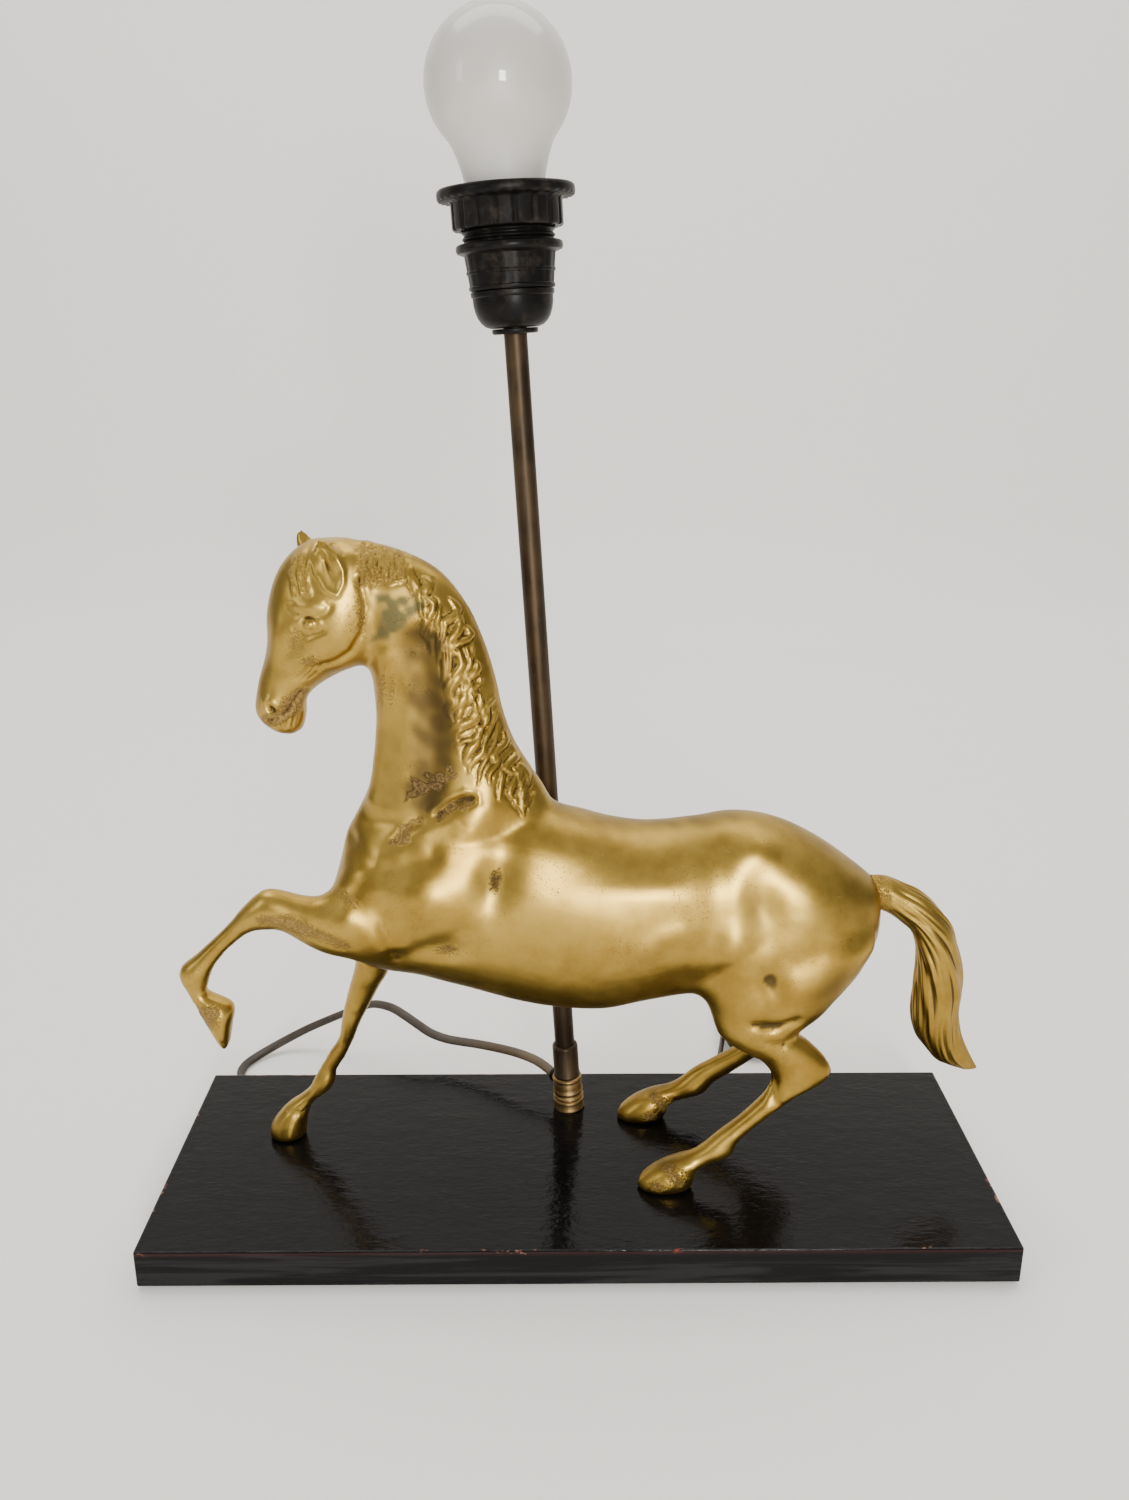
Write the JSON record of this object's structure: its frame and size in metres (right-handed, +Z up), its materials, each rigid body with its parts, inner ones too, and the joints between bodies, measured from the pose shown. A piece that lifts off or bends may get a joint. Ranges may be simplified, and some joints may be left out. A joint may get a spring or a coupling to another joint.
{
  "type": "horse table lamp",
  "caption": "Table lamp with a cast brass prancing horse on a black lacquered board, a leaning brass stem, a lampholder with shade ring and a frosted bulb.",
  "frame": {"origin": "centre of the underside of the base, on the surface the lamp stands on", "axes": "+Z up, +X along the board towards the horse's tail, +Y to the horse's right, where the stem stands"},
  "size_m": [0.39, 0.3068, 0.5267],
  "materials": {
    "cast_brass": "polished casting, rough and dark in the hollows",
    "stem_brass": "dark antique satin",
    "steel": "zinc plated",
    "black_lacquer": "high gloss lacquer over grained wood",
    "green_felt": "napped felt",
    "bakelite": "worn black thermoset",
    "porcelain": "glazed",
    "contact_brass": "bright pressed",
    "bulb_cap_metal": "satin",
    "frosted_glass": "inside frosted",
    "clear_glass": "clear",
    "tungsten": "fine wire",
    "flex": "satin flat flex",
    "core_insulation": "satin",
    "plug_plastic": "moulded satin",
    "paper_tie": "matte band"
  },
  "bodies": {
    "lamp": {"base_board": "black_lacquer", "base_felt": "green_felt", "horse_left_half": "cast_brass", "horse_right_half": "cast_brass", "foreleg_left": "cast_brass", "foreleg_right": "cast_brass", "hind_leg_left": "cast_brass", "hind_leg_right": "cast_brass", "tail": "cast_brass", "hoof_screw_1": "steel", "hoof_screw_2": "steel", "hoof_screw_3": "steel", "hoof_washer_1": "steel", "hoof_washer_2": "steel", "hoof_washer_3": "steel", "stem_tube": "stem_brass", "stem_foot": "stem_brass", "stem_sleeve": "stem_brass", "cord_bushing": "bakelite", "stem_washer": "steel", "stem_nut": "steel", "stem_cable": "flex", "cable_core_1": "core_insulation", "cable_core_2": "core_insulation", "socket_locknut": "bakelite", "socket_cap": "bakelite", "socket_skirt": "bakelite", "socket_insert": "porcelain", "terminal_screw_1": "contact_brass", "terminal_screw_2": "contact_brass", "centre_contact": "contact_brass", "socket_thread_shell": "contact_brass", "cord_lead": "flex", "cord_hank": "flex", "cord_tail": "flex", "cord_tie": "paper_tie", "plug_body": "plug_plastic", "plug_pin_1": "contact_brass", "plug_pin_2": "contact_brass"},
    "bulb_base": {"bulb_contact": "contact_brass"},
    "bulb": {"bulb_cap": "bulb_cap_metal", "bulb_glass": "frosted_glass", "bulb_stem": "clear_glass", "bulb_filament": "tungsten"},
    "shade_ring": {"shade_ring": "bakelite"}
  },
  "joints": [
    {"name": "bulb_lift", "type": "slide", "parent": "lamp", "child": "bulb_base", "axis": [-0.061, 0, 0.9981], "range_m": [0, 0.02177]},
    {"name": "bulb_turn", "type": "hinge", "parent": "bulb_base", "child": "bulb", "pos_m": [-0.02904, 0.04, 0.43922], "axis": [-0.061, 0, 0.9981], "range_deg": [0, 2160]},
    {"name": "ring_slide", "type": "slide", "parent": "lamp", "child": "shade_ring", "axis": [-0.061, 0, 0.9981], "range_m": [-0.004, 0.006]}
  ],
  "couplings": [
    {"joint": "bulb_turn", "follows": "bulb_lift", "rad_per_m": 1731.4}
  ]
}
